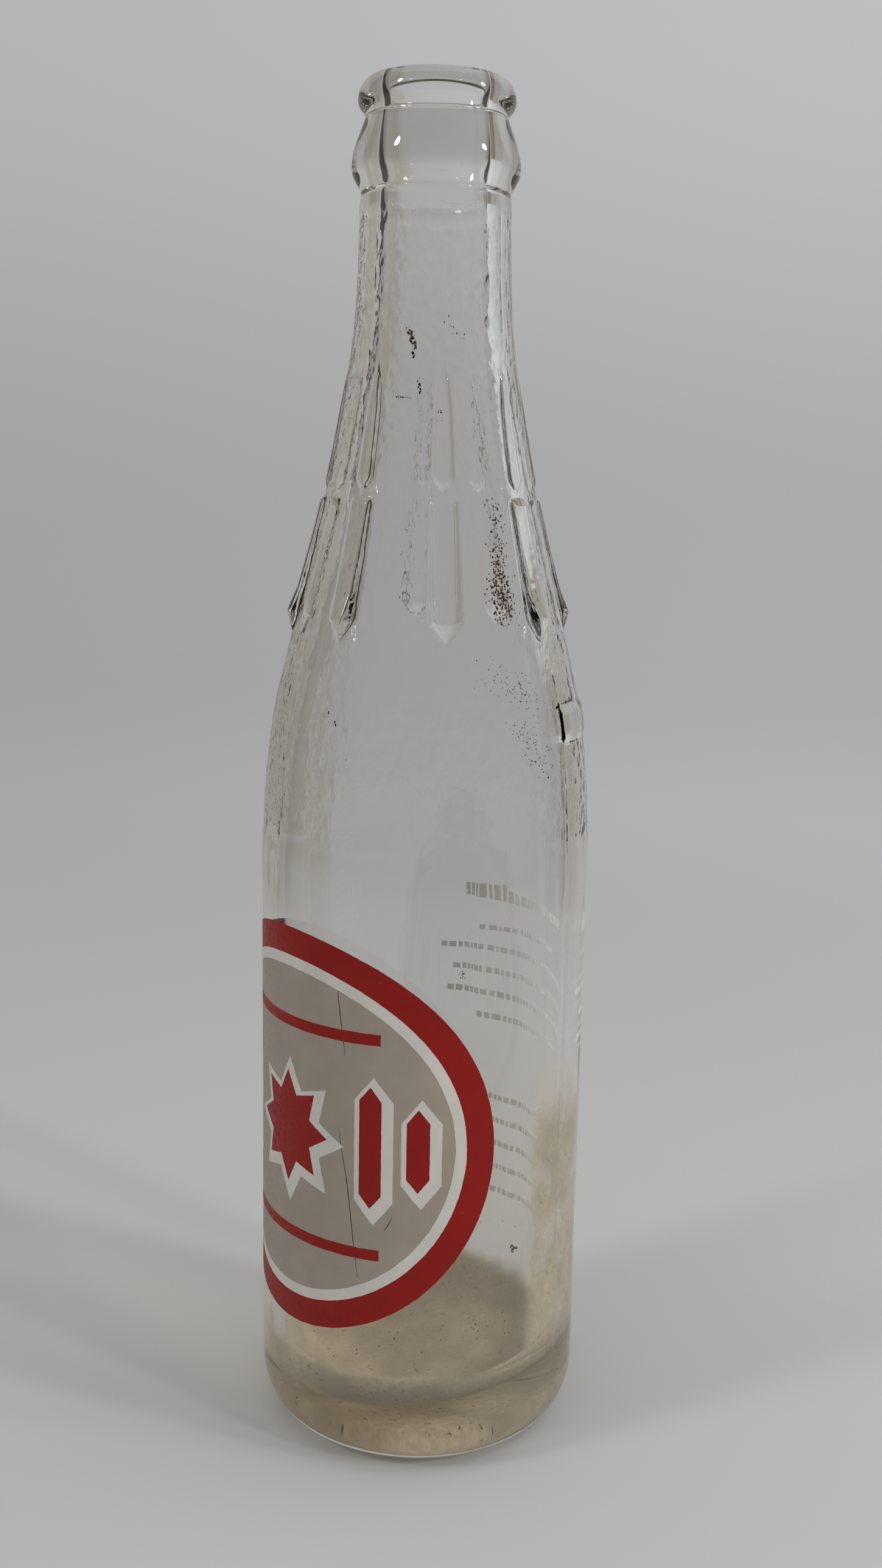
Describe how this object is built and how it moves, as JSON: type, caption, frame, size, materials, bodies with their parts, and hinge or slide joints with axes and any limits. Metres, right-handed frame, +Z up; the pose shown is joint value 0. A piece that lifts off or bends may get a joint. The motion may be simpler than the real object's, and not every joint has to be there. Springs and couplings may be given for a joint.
{
  "type": "soda bottle",
  "caption": "Clear glass soda bottle with a crown finish, spear-pointed shoulder ribs, a thick base and a red, white and grey enamel label.",
  "frame": {"origin": "centre of the bearing ring, on the surface that the bottle stands on", "axes": "+Z up along the bottle's axis, -Y out of the middle of the front label, +X to the right of it"},
  "size_m": [0.0594, 0.0602, 0.24],
  "materials": {
    "clear_glass": "clear moulded glass with a faint warm tint, stippled above the label",
    "red_enamel": "fired opaque red enamel, satin",
    "white_enamel": "fired opaque white enamel, satin, a little worn",
    "grey_enamel": "fired warm grey enamel, satin, with hairline cracks"
  },
  "bodies": {
    "root": {"glass_bottle": "clear_glass", "label_frame": "red_enamel", "label_star": "red_enamel", "label_bar_inner_right": "red_enamel", "label_bar_outer_right": "red_enamel", "label_bar_inner_left": "red_enamel", "label_bar_outer_left": "red_enamel", "label_rule_upper": "red_enamel", "label_rule_lower": "red_enamel", "label_keyline": "white_enamel", "label_star_edge": "white_enamel", "label_bar_inner_right_edge": "white_enamel", "label_bar_outer_right_edge": "white_enamel", "label_bar_inner_left_edge": "white_enamel", "label_bar_outer_left_edge": "white_enamel", "back_heading": "white_enamel", "back_upper_row_1": "white_enamel", "back_upper_row_2": "white_enamel", "back_upper_row_3": "white_enamel", "back_upper_row_4": "white_enamel", "back_upper_row_5": "white_enamel", "back_lower_row_1": "white_enamel", "back_lower_row_2": "white_enamel", "back_lower_row_3": "white_enamel", "back_lower_row_4": "white_enamel", "back_lower_row_5": "white_enamel", "label_panel": "grey_enamel"}
  },
  "joints": []
}
